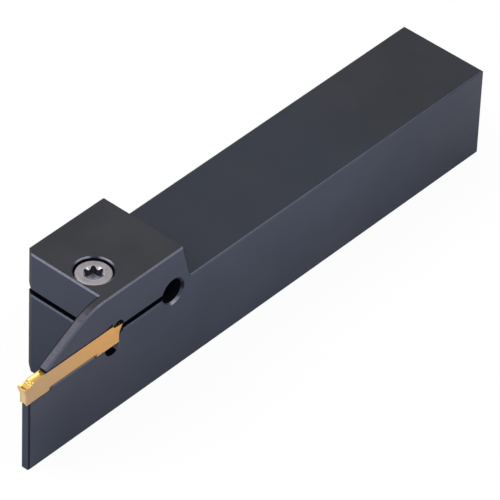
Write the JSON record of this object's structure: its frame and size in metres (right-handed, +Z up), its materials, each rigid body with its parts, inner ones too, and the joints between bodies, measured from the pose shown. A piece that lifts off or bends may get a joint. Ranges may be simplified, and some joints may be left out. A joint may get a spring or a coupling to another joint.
{
  "type": "turning tool holder",
  "caption": "Square-shank lathe tool holder with a thin offset blade, a slotted spring head, a socket clamp screw and a coated two-ended grooving insert.",
  "frame": {"origin": "on the base, half way along the whole tool with its insert and half way across the shank", "axes": "+X along the shank towards the cutting edge, +Y towards the side that carries the blade, +Z up"},
  "size_m": [0.1262, 0.0201, 0.028],
  "materials": {
    "blackened_steel": "satin black-oxide steel, ground flat",
    "coated_carbide": "satin gold nitride coating on sintered carbide",
    "screw_steel": "bright plated steel"
  },
  "bodies": {
    "holder": {"holder_body": "blackened_steel", "grooving_insert": "coated_carbide"},
    "screw": {"clamp_screw": "screw_steel"}
  },
  "joints": [
    {"name": "clamp_screw_turn", "type": "hinge", "parent": "holder", "child": "screw", "pos_m": [0.03782, 0.0028, 0.0235], "axis": [0, 0, 1], "range_deg": [0, 720]}
  ]
}
